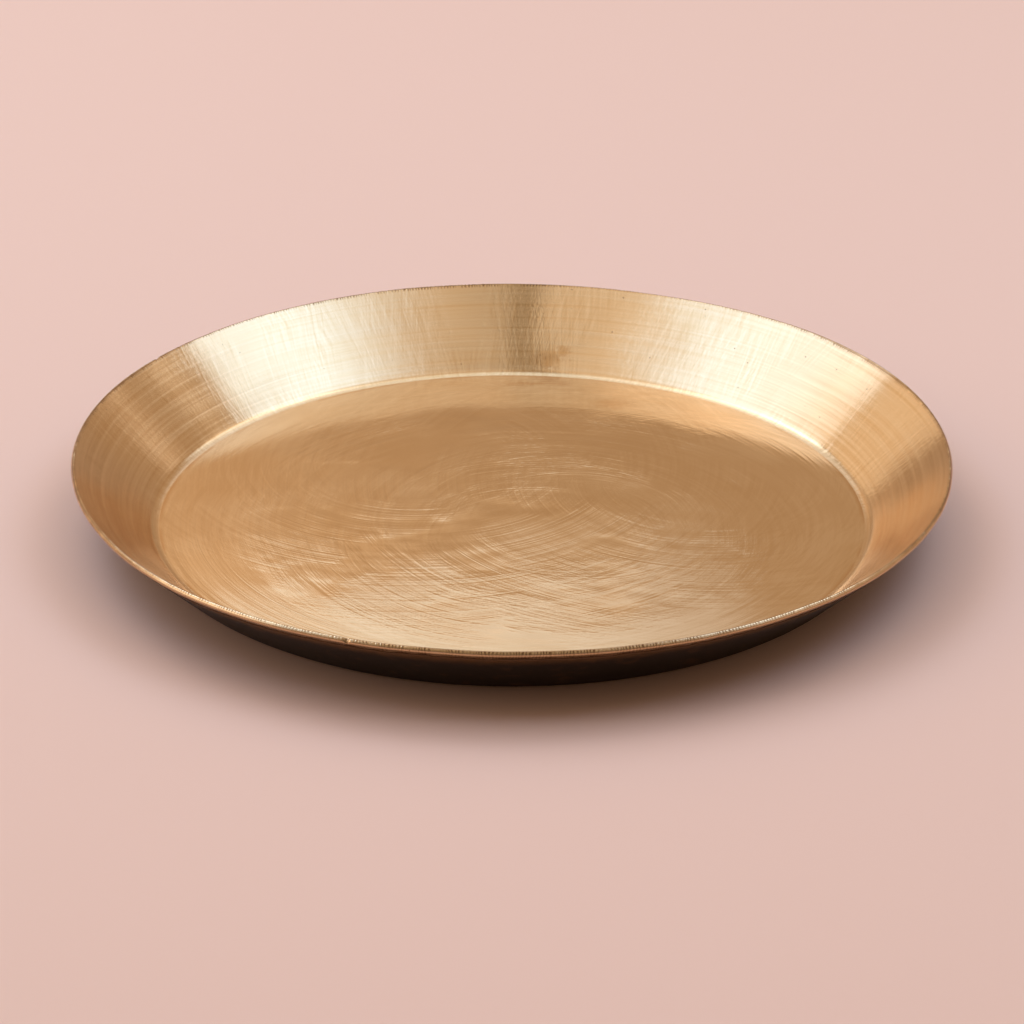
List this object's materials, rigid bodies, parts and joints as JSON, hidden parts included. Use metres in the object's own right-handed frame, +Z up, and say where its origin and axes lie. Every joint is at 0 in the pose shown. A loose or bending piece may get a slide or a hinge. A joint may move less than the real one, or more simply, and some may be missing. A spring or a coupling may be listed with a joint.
{
  "type": "thali plate",
  "caption": "Round hand-beaten bronze meal plate with a flat floor, a straight flared wall and a plain cut rim, scraped bright inside and left dark with fire scale outside.",
  "frame": {"origin": "centre of the plate on the table plane, level with the flat heel ring that it stands on", "axes": "+Z up along the plate's axis, out of the open side; X and Y lie in the table plane"},
  "size_m": [0.305, 0.305, 0.0262],
  "materials": {
    "scraped_bronze": "bell metal, hand-scraped and brushed, satin bright",
    "fire_scale": "dark copper oxide left by forging, satin"
  },
  "bodies": {
    "root": {"bronze_plate": "scraped_bronze", "wall_scale": "fire_scale", "base_scale": "fire_scale"}
  },
  "joints": []
}
